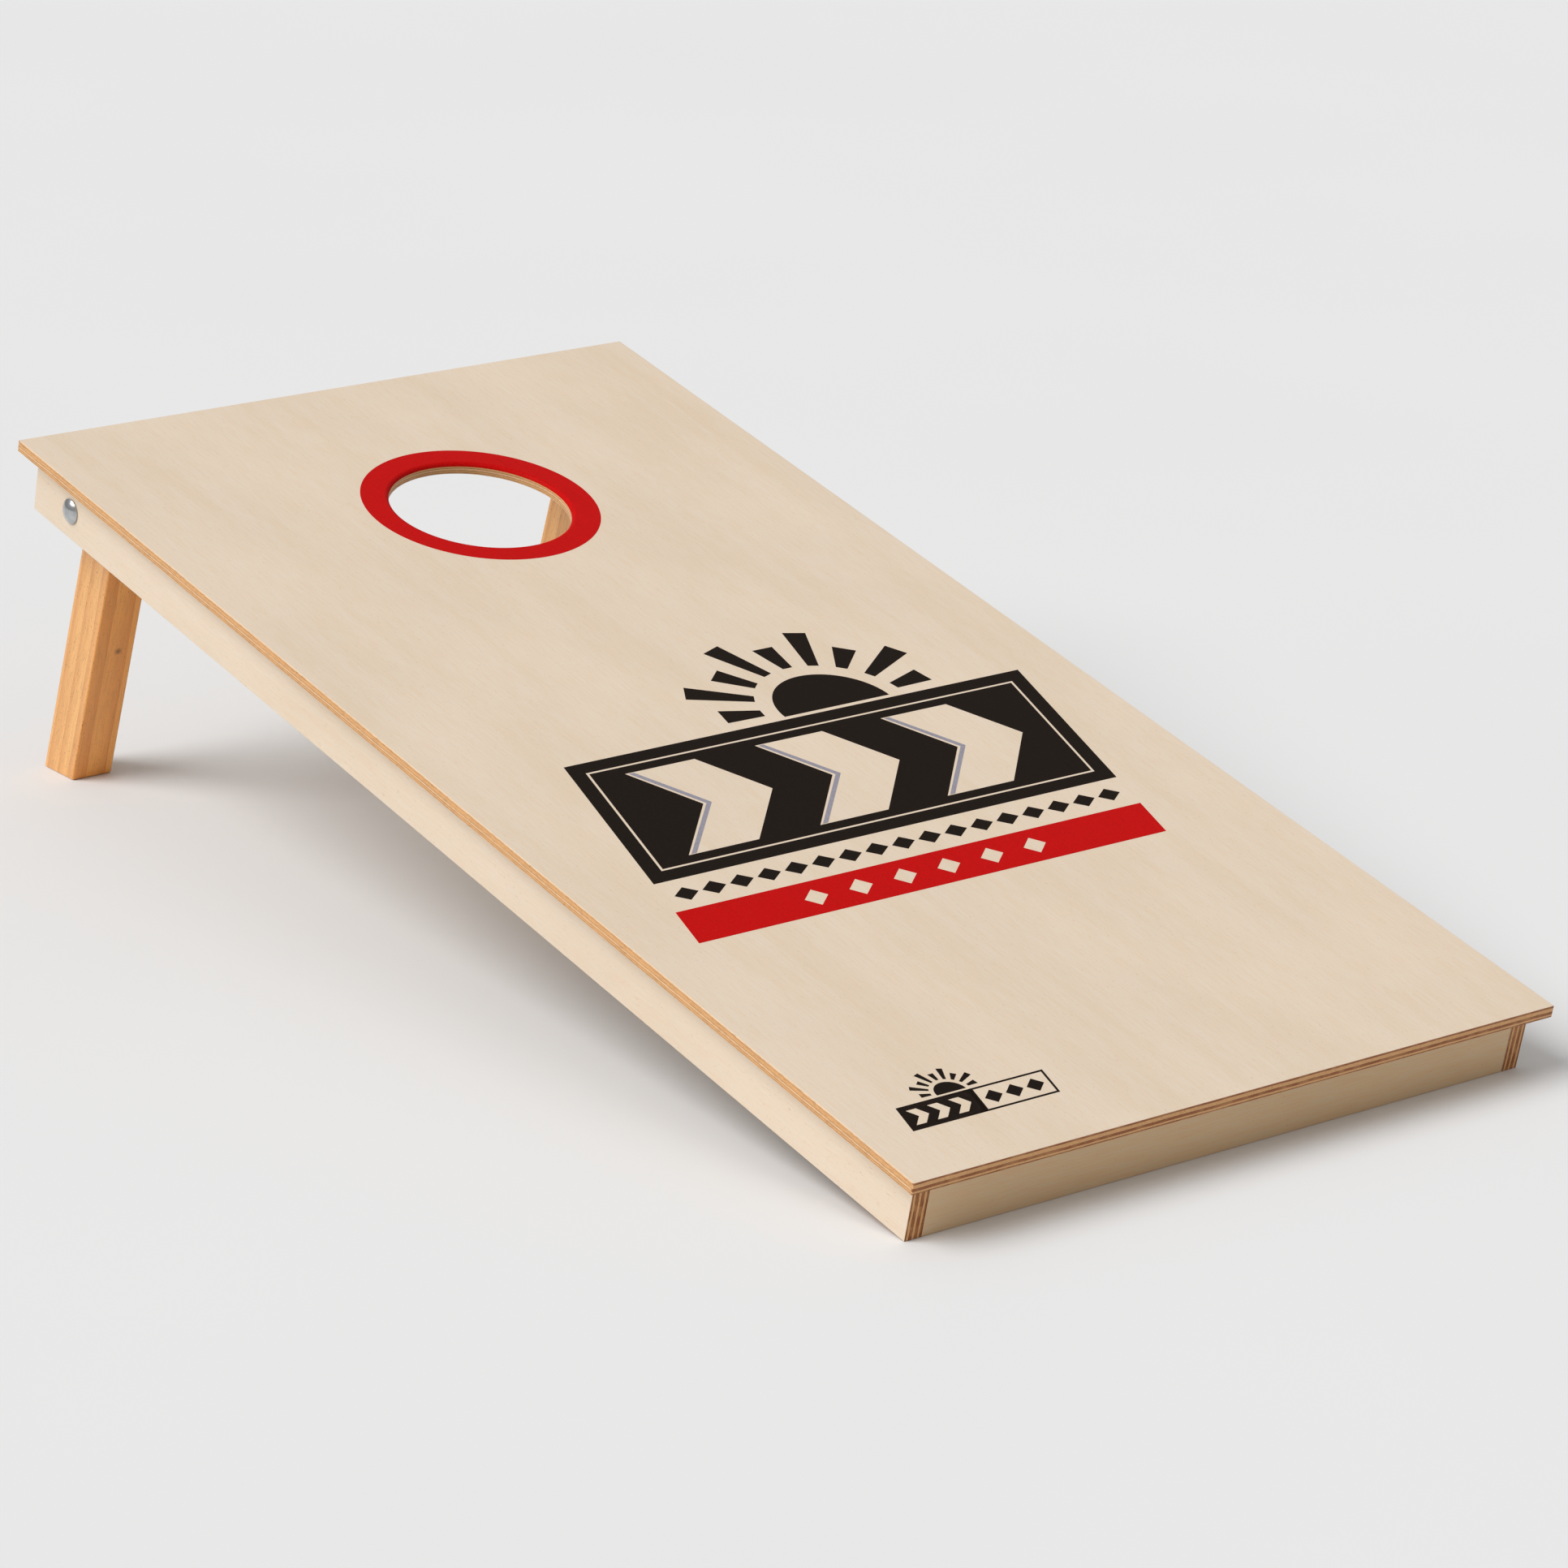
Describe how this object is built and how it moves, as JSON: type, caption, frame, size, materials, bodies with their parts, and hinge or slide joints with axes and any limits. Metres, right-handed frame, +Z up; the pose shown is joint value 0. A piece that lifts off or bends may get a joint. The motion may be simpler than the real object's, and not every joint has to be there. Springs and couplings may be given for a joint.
{
  "type": "cornhole board",
  "caption": "Sloping plywood bag-toss board with a round hole near its high end, a box frame under the deck, and folding wooden legs on carriage bolts with wing nuts.",
  "frame": {"origin": "bottom centre of the whole object's box, on the floor that it stands on", "axes": "+X to the right seen from the low front end, +Y from the low front end to the high back end with the hole, +Z up"},
  "size_m": [0.6096, 1.2378, 0.3036],
  "materials": {
    "deck_plywood": "clear-coated birch plywood with red and black ink",
    "frame_plywood": "clear-coated birch plywood",
    "leg_pine": "amber satin varnish on pine",
    "hardware_steel": "bright zinc plating",
    "screw_steel": "bright zinc plating"
  },
  "bodies": {
    "board": {"back_apron": "frame_plywood", "back_apron_screw_left_lower": "screw_steel", "back_apron_screw_left_upper": "screw_steel", "back_apron_screw_right_lower": "screw_steel", "back_apron_screw_right_upper": "screw_steel", "centre_brace": "frame_plywood", "centre_brace_screw_left_lower": "screw_steel", "centre_brace_screw_left_upper": "screw_steel", "centre_brace_screw_right_lower": "screw_steel", "centre_brace_screw_right_upper": "screw_steel", "deck": "deck_plywood", "deck_screw_back_apron_left": "screw_steel", "deck_screw_back_apron_right": "screw_steel", "deck_screw_centre_brace_left": "screw_steel", "deck_screw_centre_brace_right": "screw_steel", "deck_screw_front_apron_left": "screw_steel", "deck_screw_front_apron_right": "screw_steel", "deck_screw_left_1": "screw_steel", "deck_screw_left_2": "screw_steel", "deck_screw_left_3": "screw_steel", "deck_screw_left_4": "screw_steel", "deck_screw_right_1": "screw_steel", "deck_screw_right_2": "screw_steel", "deck_screw_right_3": "screw_steel", "deck_screw_right_4": "screw_steel", "front_apron": "frame_plywood", "front_apron_screw_left_lower": "screw_steel", "front_apron_screw_left_upper": "screw_steel", "front_apron_screw_right_lower": "screw_steel", "front_apron_screw_right_upper": "screw_steel", "left_block_screw_back": "screw_steel", "left_block_screw_front": "screw_steel", "left_carriage_bolt": "hardware_steel", "left_hinge_block": "frame_plywood", "left_hinge_washer": "hardware_steel", "left_rail": "frame_plywood", "right_block_screw_back": "screw_steel", "right_block_screw_front": "screw_steel", "right_carriage_bolt": "hardware_steel", "right_hinge_block": "frame_plywood", "right_hinge_washer": "hardware_steel", "right_rail": "frame_plywood"},
    "left_leg": {"left_leg": "leg_pine"},
    "left_nut_washer": {"left_nut_washer": "hardware_steel"},
    "left_wing_nut": {"left_wing_nut": "hardware_steel"},
    "right_leg": {"right_leg": "leg_pine"},
    "right_nut_washer": {"right_nut_washer": "hardware_steel"},
    "right_wing_nut": {"right_wing_nut": "hardware_steel"}
  },
  "joints": [
    {"name": "left_leg_fold", "type": "hinge", "parent": "board", "child": "left_leg", "pos_m": [-0.2414, 0.51297, 0.25585], "axis": [-1, 0, 0], "range_deg": [0, 96.2]},
    {"name": "left_nut_travel", "type": "slide", "parent": "board", "child": "left_nut_washer", "axis": [1, 0, 0], "range_m": [0, 0.00476]},
    {"name": "left_wing_nut_turn", "type": "hinge", "parent": "left_nut_washer", "child": "left_wing_nut", "pos_m": [-0.2203, 0.51297, 0.25585], "axis": [1, 0, 0], "range_deg": [0, 1081]},
    {"name": "right_leg_fold", "type": "hinge", "parent": "board", "child": "right_leg", "pos_m": [0.2414, 0.51297, 0.25585], "axis": [-1, 0, 0], "range_deg": [0, 96.2]},
    {"name": "right_nut_travel", "type": "slide", "parent": "board", "child": "right_nut_washer", "axis": [-1, 0, 0], "range_m": [0, 0.00476]},
    {"name": "right_wing_nut_turn", "type": "hinge", "parent": "right_nut_washer", "child": "right_wing_nut", "pos_m": [0.2203, 0.51297, 0.25585], "axis": [-1, 0, 0], "range_deg": [0, 1081]}
  ],
  "couplings": [
    {"joint": "left_wing_nut_turn", "follows": "left_nut_travel", "rad_per_m": 3957.9},
    {"joint": "right_wing_nut_turn", "follows": "right_nut_travel", "rad_per_m": 3957.9}
  ]
}
